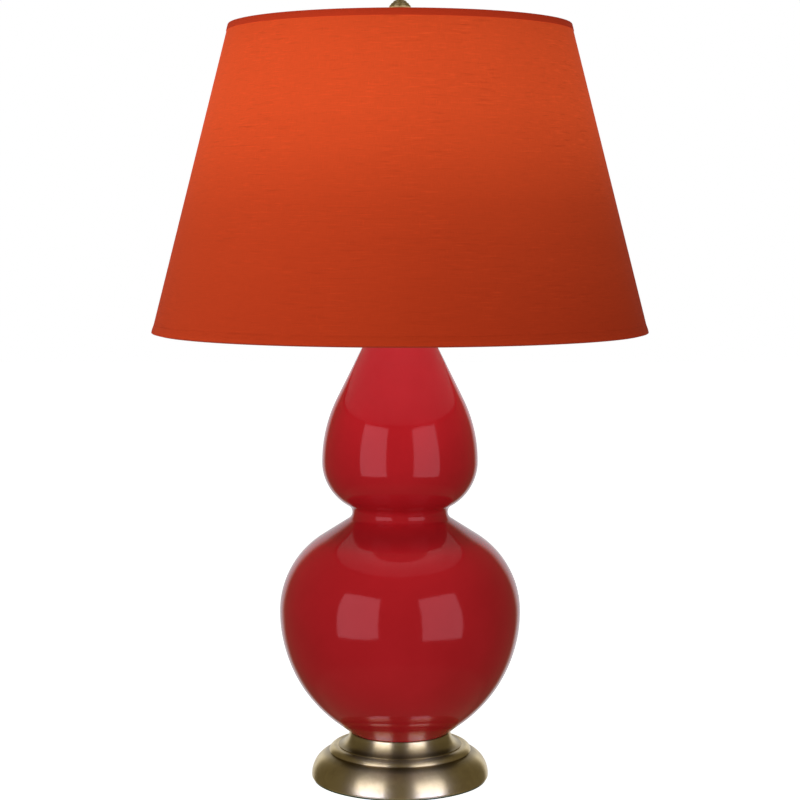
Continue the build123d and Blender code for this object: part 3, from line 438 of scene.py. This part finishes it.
def cloth(name, red, lit, strength, slubs=1.0):
    """Fine plain weave with short uneven slubs round the shade, and a few along it."""
    m = Nodes(name)
    around = m.round_place(0.21)
    weft = m.noise(1.0, 1, 0.5, m.scaled(120, 2300, 1, around))
    warp = m.noise(1.0, 1, 0.5, m.scaled(2300, 120, 1, around))
    thread = m.maths("ADD", m.maths("MULTIPLY", weft, 0.55), m.maths("MULTIPLY", warp, 0.45))
    long = m.noise(1.0, 2, 0.55, m.scaled(48, 560, 1, around), distortion=0.15)
    thin = m.noise(1.0, 2, 0.55, m.scaled(38, 400, 1, around), distortion=0.1)
    upright = m.noise(1.0, 2, 0.5, m.scaled(620, 95, 1, around))
    gathered = m.span(m.noise(13, 2, 0.5), 0.38, 0.62, 0.35, 1.0)
    raised = m.maths("MULTIPLY", m.span(long, 0.54, 0.72), gathered)
    sunk = m.maths("MULTIPLY", m.span(thin, 0.56, 0.76), gathered)
    tick = m.maths("MULTIPLY", m.span(upright, 0.64, 0.80), gathered)
    level = m.maths("ADD", m.span(thread, 0.3, 0.7, -0.10, 0.10),
                    m.maths("ADD", m.maths("MULTIPLY", m.maths("ADD", raised, tick), 0.20 * slubs),
                            m.maths("MULTIPLY", sunk, -0.22 * slubs)))
    broad = m.span(m.noise(9, 3, 0.5), 0.3, 0.7, -0.03, 0.03)
    tone = m.maths("ADD", m.maths("ADD", level, broad), 0.5)
    dark = tuple(c * k for c, k in zip(red, (0.78, 0.72, 0.68)))
    light = tuple(min(1.0, c * k) for c, k in zip(red, (1.22, 1.28, 1.32)))
    m.set(Base_Color=m.mixed(tone, dark, light))
    # painted glow: emission by height stands in for the bulb's light coming through the cloth
    through = m.maths("MULTIPLY", glow(m), strength)
    m.set(Emission_Color=lit,
          Emission_Strength=m.maths("MULTIPLY", through, m.span(tone, 0, 1, 0.50, 1.50)))
    first = m.bump(thread, 0.00012, 0.35)
    m.set(Normal=m.bump(m.maths("ADD", raised, tick), 0.00020, 0.28 * slubs, first))
    m.shader.inputs["Roughness"].default_value = 0.9
    m.shader.inputs["Sheen Weight"].default_value = 0.03
    m.shader.inputs["Specular IOR Level"].default_value = 0.12
    return m.material


def plain(name, one, other, rough, metal, scale, grain=0.00003):
    """A finish with mottled colour, roughness and fine relief."""
    m = Nodes(name)
    patch = m.noise(scale, 4, 0.6)
    fine = m.noise(scale * 9, 3, 0.6)
    m.set(
        Base_Color=m.mixed(m.span(patch, 0.35, 0.68), one, other),
        Roughness=m.span(patch, 0.3, 0.7, rough, rough + 0.12),
        Normal=m.bump(fine, grain, 0.6),
    )
    m.shader.inputs["Metallic"].default_value = metal
    return m.material


def felt_cloth():
    """Dark green felt: matted fibres with lint."""
    m = Nodes("felt")
    fibre = m.noise(900, 5, 0.75, distortion=2.5)
    lint = m.noise(120, 4, 0.6)
    m.set(Base_Color=m.mixed(m.span(m.maths("MULTIPLY", fibre, lint), 0.12, 0.38),
                             (0.012, 0.045, 0.026), (0.035, 0.10, 0.06)),
          Normal=m.bump(fibre, 0.0004, 0.8))
    m.shader.inputs["Roughness"].default_value = 0.95
    m.shader.inputs["Sheen Weight"].default_value = 0.3
    return m.material


def opal(name, colour, lit, strength):
    """Stiff translucent liner: a paler weave of fibres, lit from inside."""
    m = Nodes(name)
    patch = m.noise(60, 4, 0.5)
    fibre = m.noise(1300, 3, 0.6)
    level = m.maths("MULTIPLY", m.maths("ADD", glow(m), 0.09), strength)
    m.set(Base_Color=m.mixed(m.span(patch, 0.35, 0.65), colour, tuple(c * 0.93 for c in colour)),
          Emission_Color=lit,
          Emission_Strength=m.maths("MULTIPLY", level, m.span(patch, 0.3, 0.7, 0.96, 1.04)),
          Normal=m.bump(fibre, 0.00003, 0.5))
    m.shader.inputs["Roughness"].default_value = 0.42
    return m.material


def lamp_glass():
    """The bulb's white glass, lit from its middle up."""
    m = Nodes("opal_glass")
    patch = m.noise(90, 3, 0.5)
    m.set(Base_Color=m.mixed(m.span(patch, 0.3, 0.7), (0.86, 0.85, 0.82), (0.80, 0.79, 0.76)),
          Emission_Color=(1.0, 0.84, 0.62),
          Emission_Strength=m.span(m.height(), 0.585, 0.64, 0.12, 0.55, "SMOOTHSTEP"),
          Roughness=m.span(patch, 0.3, 0.7, 0.22, 0.32))
    return m.material


def clear_glass():
    m = Nodes("clear_glass")
    m.set(Roughness=m.span(m.noise(200, 2, 0.5), 0.3, 0.7, 0.02, 0.06))
    m.shader.inputs["Transmission Weight"].default_value = 1
    m.shader.inputs["Base Color"].default_value = (0.93, 0.96, 0.95, 1)
    return m.material


RED_CLOTH = (0.57, 0.0440, 0.0098)
finish = {
    "red_glaze": glaze(),
    "antique_brass": brass("antique_brass", (0.85, 0.68, 0.37), (0.60, 0.45, 0.215), hollows=(
        (GROOVE_Z - 5.0, GROOVE_Z, GROOVE_Z + 1.6, 0.85),
        (QUIRK_Z - 1.0, QUIRK_Z + 0.6, QUIRK_Z + 4.5, 0.70),
        (QUIRK_Z, QUIRK_Z + 6.0, LIP_TOP + 2.0, 0.20))),
    "holder_brass": brass("holder_brass", (0.86, 0.66, 0.32), (0.62, 0.44, 0.19), 0.24, 0.4),
    "felt": felt_cloth(),
    "slub_cloth": cloth("slub_cloth", RED_CLOTH, (1.0, 0.131, 0.032), 1.0),
    "hem_cloth": cloth("hem_cloth", (0.52, 0.036, 0.0105), (1.0, 0.085, 0.024), 0.40, 0.5),
    "opal_liner": opal("opal_liner", (0.66, 0.64, 0.62), (1.0, 0.90, 0.84), 1.1),
    "opal_glass": lamp_glass(),
    "clear_glass": clear_glass(),
}
# two colours, roughness, how much is metal, scale of the mottling, and sometimes the relief in metres
PLAIN = {
    "plated_wire": ((0.70, 0.60, 0.40), (0.55, 0.45, 0.28), 0.24, 1.0, 300),
    "cast_iron": ((0.045, 0.043, 0.042), (0.09, 0.075, 0.065), 0.62, 0.6, 150, 0.0004),
    "zinc_steel": ((0.52, 0.53, 0.55), (0.40, 0.41, 0.42), 0.32, 1.0, 260),
    "seal_rubber": ((0.022, 0.022, 0.022), (0.04, 0.04, 0.04), 0.7, 0.0, 300),
    "black_plastic": ((0.012, 0.012, 0.013), (0.022, 0.022, 0.023), 0.38, 0.0, 500),
    "brown_phenolic": ((0.055, 0.022, 0.012), (0.10, 0.045, 0.024), 0.35, 0.0, 350),
    "fibre_paper": ((0.46, 0.36, 0.23), (0.58, 0.48, 0.33), 0.85, 0.0, 400, 0.0001),
    "white_wire": ((0.74, 0.73, 0.70), (0.66, 0.64, 0.60), 0.35, 0.0, 250),
    "bulb_metal": ((0.62, 0.62, 0.62), (0.48, 0.48, 0.47), 0.30, 1.0, 300),
    "black_ceramic": ((0.010, 0.010, 0.010), (0.03, 0.03, 0.03), 0.25, 0.0, 300),
    "tungsten": ((0.28, 0.27, 0.26), (0.36, 0.35, 0.33), 0.4, 1.0, 900),
}
for slot_name, look in PLAIN.items():
    finish[slot_name] = plain(slot_name, *look)


# ------------------------------------------------------------------ base
def base_outline():
    edge_z = FELT + EDGE_RISE
    dome_r, dome_z = BASE_R - DOME_INSET, edge_z + DOME_RISE
    bead_z = dome_z + GROOVE_WIDTH
    bead_r, bead_top = dome_r - BEAD_INSET, bead_z + BEAD_RISE
    cove_r, cove_z = bead_r - QUIRK_INSET, bead_top + QUIRK_RISE
    lip_r = RECESS_R + LIP_WALL
    outside = joined(
        [(BASE_R - BASE_WALL, FELT), (BASE_R - EDGE_INSET, FELT), (BASE_R, edge_z)],
        bulged((BASE_R, edge_z), (dome_r, dome_z), -DOME_BULGE, 24),
        [(dome_r, dome_z), (dome_r - GROOVE_DEPTH, dome_z + GROOVE_WIDTH / 2), (dome_r, bead_z)],
        bulged((dome_r, bead_z), (bead_r, bead_top), -BEAD_BULGE, 12),
        [(bead_r, bead_top), (cove_r, cove_z)],
        bulged((cove_r, cove_z), (lip_r, LIP_TOP - LIP_ROUND), COVE_SAG, 16),
        [(lip_r - LIP_ROUND, LIP_TOP), (RECESS_R, LIP_TOP), (RECESS_R, SEAT), (TUBE_HOLE_R, SEAT)],
    )
    ceiling = SEAT - BASE_WALL
    inside = joined(
        [(TUBE_HOLE_R, ceiling), (lip_r - BASE_WALL, ceiling)],
        list(reversed(bulged((cove_r - BASE_WALL, bead_top - BASE_WALL),
                             (lip_r - BASE_WALL, ceiling), COVE_SAG, 12))),
        [(dome_r - BASE_WALL, dome_z - BASE_WALL)],
        list(reversed(bulged((BASE_R - BASE_WALL, edge_z), (dome_r - BASE_WALL, dome_z - BASE_WALL),
                             -DOME_BULGE, 16))),
    )
    return eased(outside + inside, 0.35)


def gourd_side(inset, bottom, top):
    """The gourd's meridian from foot to neck, moved in by inset."""
    waist = (WAIST_R + WAIST_ROUND, LOW_Z + WAIST_RISE)
    under = (TOP_R - TOP_UNDER, TOP_Z)
    meet = math.degrees(math.atan2(waist[1] - under[1], waist[0] - under[0]))
    foot_end = arc((LOW_R - FOOT_ARC, LOW_Z), FOOT_ARC - inset, -FOOT_ANGLE, 0, 36)
    neck_end = arc((TOP_R - NECK_ARC, TOP_Z), NECK_ARC - inset, 0, NECK_ANGLE, 24)
    foot = (foot_end[0][0] - math.tan(math.radians(FOOT_ANGLE)) * (foot_end[0][1] - bottom), bottom)
    neck = (neck_end[-1][0] - math.tan(math.radians(NECK_ANGLE)) * (top - neck_end[-1][1]), top)
    over = arc((LOW_R - WAIST_ARC, LOW_Z), WAIST_ARC - inset, 0, WAIST_ANGLE, 36)
    waist_arc = arc(waist, WAIST_ROUND + inset, WAIST_ANGLE + 180, meet + 180, 16)
    return joined(between(foot, foot_end[0], 0, 11, 12), foot_end, over,
                  between(over[-1], waist_arc[0], 1, 5, 6), waist_arc,
                  arc(under, TOP_UNDER - inset, meet, 0, 30), neck_end,
                  between(neck_end[-1], neck, 1, 20, 20))


def gourd_shape(angle, radius, height):
    """A cast and glazed form is never quite true: it wanders by a tenth or two of a millimetre.

    The foot and the neck stay true, so that they seat.
    """
    broad, fine, offset, waves_per_mm = 0.28, 0.10, 0.2, 0.011
    p = Vector((math.cos(angle) * radius, math.sin(angle) * radius, height)) * waves_per_mm
    swell = noise.noise(p) * broad + noise.noise(p * 2.7 + Vector((7, 3, 1))) * fine
    ends = unit((height - FOOT - 6) / 20) * unit((NECK_TOP - 8 - height) / 30)
    return radius + (swell - offset) * ends, height


def gourd():
    """The hollow body, open at the foot and the neck for the tube."""
    floor_top, neck_under = FOOT + GOURD_WALL, NECK_TOP - GOURD_WALL
    outline = joined([(TUBE_ROOM, FOOT)], gourd_side(0, FOOT, NECK_TOP),
                     [(TUBE_ROOM, NECK_TOP), (TUBE_ROOM, neck_under)],
                     list(reversed(gourd_side(GOURD_WALL, floor_top, neck_under))),
                     [(TUBE_ROOM, floor_top)])
    return turned("gourd", eased(outline, 0.5), "stand", finish["red_glaze"], ("gourd_body",),
                  shape=gourd_shape)


# ------------------------------------------------------------------ shade
LENGTH = math.hypot(SHADE_TOP - SHADE_LOW, SHADE_LOW_R - SHADE_TOP_R)
SINE = (SHADE_LOW_R - SHADE_TOP_R) / LENGTH
COSINE = (SHADE_TOP - SHADE_LOW) / LENGTH


def on_slant(along, depth):
    """A point of the shade's side: its way down from the top edge, and its depth in from the cloth."""
    return (SHADE_TOP_R + along * SINE - depth * COSINE, SHADE_TOP - along * COSINE - depth * SINE)


# the lap seam: its angle, its cut end and the run over which it eases back, in radians
SEAM, SEAM_END, LAP_RUN = math.radians(90.3), 0.0009, 0.16
SEAM_COLUMNS = (SEAM, SEAM + SEAM_END, SEAM + 0.0025)
LAP_RISE = 0.42


def lapped(angle, radius, height):
    """The lap at the back: the cloth's cut end lies over its start, and eases back round the side."""
    past = math.remainder(angle - SEAM, 2 * math.pi)
    step = unit(past / SEAM_END) * unit(1 - (past - SEAM_END) / LAP_RUN)
    return radius + LAP_RISE * step, height


def band(name, start, end, outer, inner, material, replaced, steps=24):
    """One layer of the shade's side, from start to end down its slant, between two depths."""
    face = [on_slant(start + (end - start) * i / steps, outer) for i in range(steps + 1)]
    back = [on_slant(end + (start - end) * i / steps, inner) for i in range(steps + 1)]
    return turned(name, face + back, "shade", material, replaced, shape=lapped, extra=SEAM_COLUMNS)


def hem(name, edge, inward, width, taper, cut, material, replaced):
    """Cloth folded over an edge and the ring inside it.

    Over the taper it is pressed flat, down to the depth cut at its cut edge.
    """
    deep = HEM + COVER + LINER + RING_WIRE + 2 * SLIP

    def at(along, depth):
        return on_slant(edge + inward * along, depth)

    outer = [at(width, cut), at(width - taper, 0.0), at(0.7, 0.0)]
    fold = [at(0.25, 0.15), at(0, 0.7), at(0, deep / 2), at(0, deep - 0.2), at(0.25, deep + HEM - 0.15)]
    inner = [at(0.7, deep + HEM), at(width, deep + HEM)]
    back = [at(width, deep), at(0.8, deep), at(HEM, deep - 0.4), at(HEM, HEM + 0.4), at(HEM + 0.3, HEM),
            at(width, HEM)]
    return turned(name, outer + fold + inner + back, "shade", material, replaced, shape=lapped,
                  extra=SEAM_COLUMNS)


def threaded_cap():
    """The bulb's cap: a rolled thread between a plain neck and the taper over the insulator."""
    foot, top = low("bulb_cap").z, high("bulb_cap").z
    radius = high("bulb_cap").x
    pitch, depth, fade, wall = 3.6, 0.75, 1.5, 0.5
    first, last = foot + 3.0, top - 3.5
    tip, mouth = 9.0, 8.0

    def shape(angle, r, z):
        if r < radius - 0.01:
            return r, z
        ends = unit((z - first) / fade) * unit((last - z) / fade)
        return r - depth * ends * (0.5 - 0.5 * math.cos(2 * math.pi * z / pitch - angle)), z

    rows = [(radius, first + (top - first) * i / 64) for i in range(65)]
    inner = radius - depth - wall
    outline = [(tip, foot), (tip + wall, foot)] + rows + [
        (mouth, top), (mouth, top - wall), (inner, top - wall), (inner, first), (tip, foot + 0.4)]
    return turned("bulb_thread", outline, "bulb", finish["bulb_metal"], ("bulb_cap",),
                  around=96, shape=shape)


def drilled(piece, name, place, radius, depth):
    """Cuts a round hole along y in the piece, centred on the place. The sizes are in millimetres."""
    bm = bmesh.new()
    bmesh.ops.create_cone(bm, cap_ends=True, segments=64, radius1=radius * MM, radius2=radius * MM,
                          depth=depth * MM)
    bm.transform(Matrix.Translation([c * MM for c in place]) @ Matrix.Rotation(math.pi / 2, 4, "X"))
    cutter = linked(name, meshed(name, bm))
    cut = piece.modifiers.new("hole", "BOOLEAN")
    cut.object = cutter
    cut.operation = "DIFFERENCE"
    cut.solver = "EXACT"
    bpy.context.view_layer.update()
    opened = bpy.data.meshes.new_from_object(piece.evaluated_get(bpy.context.evaluated_depsgraph_get()))
    piece.modifiers.clear()
    piece.data = opened
    for face in opened.polygons:
        face.use_smooth = True
    opened.set_sharp_from_angle(angle=math.radians(50))
    bpy.data.objects.remove(cutter)


# ------------------------------------------------------------------ pieces
body = gourd()
thread = threaded_cap()
base = turned("base", base_outline(), "stand", finish["antique_brass"], ("base_shell",))
drilled(base, "bushing_hole", (0, high("cord_bushing").y - 12, INLET_Z), BUSHING_HOLE_R, 50)
cover = band("shade_cloth", HEM, LENGTH - HEM, HEM, HEM + COVER, finish["slub_cloth"], ("shade_cover",))
liner = band("shade_lining", HEM, LENGTH - HEM, HEM + COVER + APART, HEM + COVER + LINER,
             finish["opal_liner"], ("shade_liner",))
top_hem = hem("top_hem", 0, 1, TOP_HEM, 0.25, 0.12, finish["hem_cloth"], ("top_binding",))
low_hem = hem("low_hem", LENGTH, -1, LOW_HEM, 5.0, HEM + APART, finish["slub_cloth"], ("bottom_binding",))

# the CAD nodes that stay take the finish of their own slot
for row in frame["record"]["subparts"]:
    if row["node"] in nodes and row["material_slot"] in finish:
        data = nodes[row["node"]].data
        data.materials.clear()
        data.materials.append(finish[row["material_slot"]])


# ------------------------------------------------------------------ floor and room
FLOOR_SIZE, FLOOR_DROP = 6, 0.0002
PAPER_GLOW = 1.02
ROOM_LEVEL, BACK_LEVEL, BELOW_LEVEL = 0.12, 0.78, 0.07
# how far back and how far down a direction points where the room's light changes
BACK_START, BACK_FULL = 0.78, 0.90
BELOW_FULL, BELOW_END = -0.66, -0.58


def paper_floor():
    """Pale paper that only the camera sees, and only from above."""
    bm = bmesh.new()
    bmesh.ops.create_grid(bm, x_segments=8, y_segments=8, size=FLOOR_SIZE)
    floor = linked("floor", meshed("floor", bm))
    paper = Nodes("paper")
    paper.set(Base_Color=paper.mixed(paper.noise(3, 2), (0.50, 0.50, 0.50), (0.53, 0.53, 0.53)),
              Emission_Color=(1.0, 1.0, 1.0))
    paper.shader.inputs["Roughness"].default_value = 0.9
    paper.shader.inputs["Specular IOR Level"].default_value = 0.0
    paper.shader.inputs["Emission Strength"].default_value = PAPER_GLOW
    floor.data.materials.append(paper.material)
    new, join = paper.tree.nodes.new, paper.tree.links.new
    facing = new("ShaderNodeNewGeometry")
    open_below = new("ShaderNodeMixShader")
    join(facing.outputs["Backfacing"], open_below.inputs[0])
    join(paper.shader.outputs[0], open_below.inputs[1])
    join(new("ShaderNodeBsdfTransparent").outputs[0], open_below.inputs[2])
    join(open_below.outputs[0], paper.tree.nodes["Material Output"].inputs["Surface"])
    floor.location.z = -FLOOR_DROP
    floor.visible_diffuse = False
    floor.visible_glossy = False
    floor.visible_shadow = False
    return floor


def studio_room():
    """White to the camera. To the lamp it is a dim warm room, lighter behind it and a little below."""
    world = bpy.data.worlds.new("studio")
    bpy.context.scene.world = world
    world.use_nodes = True
    tree = world.node_tree
    tree.nodes.clear()
    new, join = tree.nodes.new, tree.links.new

    def mapped(value, *limits, kind="SMOOTHSTEP"):
        made = new("ShaderNodeMapRange")
        made.interpolation_type = kind
        join(value, made.inputs[0])
        for i, limit in enumerate(limits, 1):
            made.inputs[i].default_value = limit
        return made.outputs[0]

    split = new("ShaderNodeSeparateXYZ")
    join(new("ShaderNodeTexCoord").outputs["Generated"], split.inputs[0])
    x, y, z = split.outputs
    behind = mapped(y, BACK_START, BACK_FULL, 0.0, 1.0)
    level = new("ShaderNodeMath")
    join(mapped(behind, 0.0, 1.0, ROOM_LEVEL, BACK_LEVEL, kind="LINEAR"), level.inputs[0])
    join(mapped(z, BELOW_FULL, BELOW_END, BELOW_LEVEL, 0.0), level.inputs[1])
    tone = new("ShaderNodeMix")
    tone.data_type = "RGBA"
    tone.inputs[6].default_value = (1.0, 0.86, 0.52, 1)
    tone.inputs[7].default_value = (0.95, 0.97, 1.0, 1)
    join(behind, tone.inputs[0])
    room = new("ShaderNodeBackground")
    join(level.outputs[0], room.inputs["Strength"])
    join(tone.outputs[2], room.inputs["Color"])
    white = new("ShaderNodeBackground")
    white.inputs["Strength"].default_value = 1.0
    white.inputs["Color"].default_value = (1, 1, 1, 1)
    choose = new("ShaderNodeMixShader")
    join(new("ShaderNodeLightPath").outputs["Is Camera Ray"], choose.inputs[0])
    join(room.outputs[0], choose.inputs[1])
    join(white.outputs[0], choose.inputs[2])
    join(choose.outputs[0], new("ShaderNodeOutputWorld").inputs[0])


floor = paper_floor()
studio_room()


# ------------------------------------------------------------------ lights
def area_light(name, place, target, size, radiance, colour=(1, 1, 1), glossy=True, only=None):
    """A rectangle that faces its target and isn't seen itself.

    Given a collection as only, it lights nothing else.
    """
    width, height = size
    data = bpy.data.lights.new(name, "AREA")
    data.shape = "RECTANGLE"
    data.size, data.size_y = width, height
    data.energy = radiance * math.pi * width * height
    data.color = colour
    light = linked(name, data)
    light.location = place
    light.rotation_euler = (Vector(target) - Vector(place)).to_track_quat("-Z", "Y").to_euler()
    light.visible_camera = False
    light.visible_glossy = glossy
    if only:
        light.light_linking.receiver_collection = only
    return light


def group(name, *pieces):
    """A collection of pieces for a light to reach."""
    made = bpy.data.collections.new(name)
    for piece in pieces:
        made.objects.link(piece)
    return made


def side_lights(name, level, size, radiances, **options):
    """One light on each side in front, left and right, facing the lamp's axis at its own level."""
    for side, sign, radiance in zip(("left", "right"), (-1, 1), radiances):
        place = (sign * SIDE_AWAY * math.sin(SIDE_TURN), -SIDE_AWAY * math.cos(SIDE_TURN), level)
        area_light("%s_%s" % (name, side), place, (0, 0, level), size, radiance, **options)


SIDE_AWAY, SIDE_TURN = 1.508, math.radians(39.3)
shade_only = group("shade_only", cover, top_hem, low_hem)
brass_only = group("brass_only", base, nodes["finial"])
side_lights("softbox", 0.41, (1.068, 1.36), (1.5, 1.4))
area_light("key", (-1.9, -1.7, 1.5), (0, 0, 0.5), (0.9, 0.9), 2.6, glossy=False)
area_light("side_key", (-1.25, -0.45, 0.40), (-0.2, 0, 0.5), (0.6, 0.6), 3.4, (1.0, 1.32, 1.28),
           glossy=False, only=shade_only)
under = area_light("under_shade", (0, 0, 0.462), (0, 0, 0), (0.40, 0.40), 0.32, (1, 0.94, 0.92),
                   glossy=False)
under.data.shape = "DISK"
under.parent = frame["bodies"]["shade"]
area_light("bounce", (0, -0.9, -0.35), (0, 0, 0.15), (1.2, 1.2), 0.16, glossy=False)
side_lights("brass_box", -0.1, (1.0, 2.3), (6.0, 6.0), colour=(0.37, 0.44, 1.0), only=brass_only)

# the lit bulb: its glass lets the light out
bulb_light = bpy.data.lights.new("bulb_light", "POINT")
bulb_light.energy = 0.3
bulb_light.color = (1.0, 0.86, 0.70)
bulb_light.shadow_soft_size = 0.033
lit = linked("bulb_light", bulb_light)
lit.location = (0, 0, 0.648)
lit.parent = frame["bodies"]["bulb"]
nodes["bulb_glass"].visible_shadow = False


# ------------------------------------------------------------------ camera
CAMERA_AWAY, CAMERA_LEVEL, CAMERA_DOWN = 2.0, 0.5639, math.radians(5.098)
camera = linked("camera", bpy.data.cameras.new("camera"))
camera.location = (0, -CAMERA_AWAY, CAMERA_LEVEL)
camera.rotation_euler = (math.pi / 2 - CAMERA_DOWN, 0, 0)
camera.data.sensor_width = 36
camera.data.lens = 90.10
camera.data.clip_start = 0.05
bpy.context.scene.camera = camera
bpy.context.scene.view_settings.view_transform = "Standard"
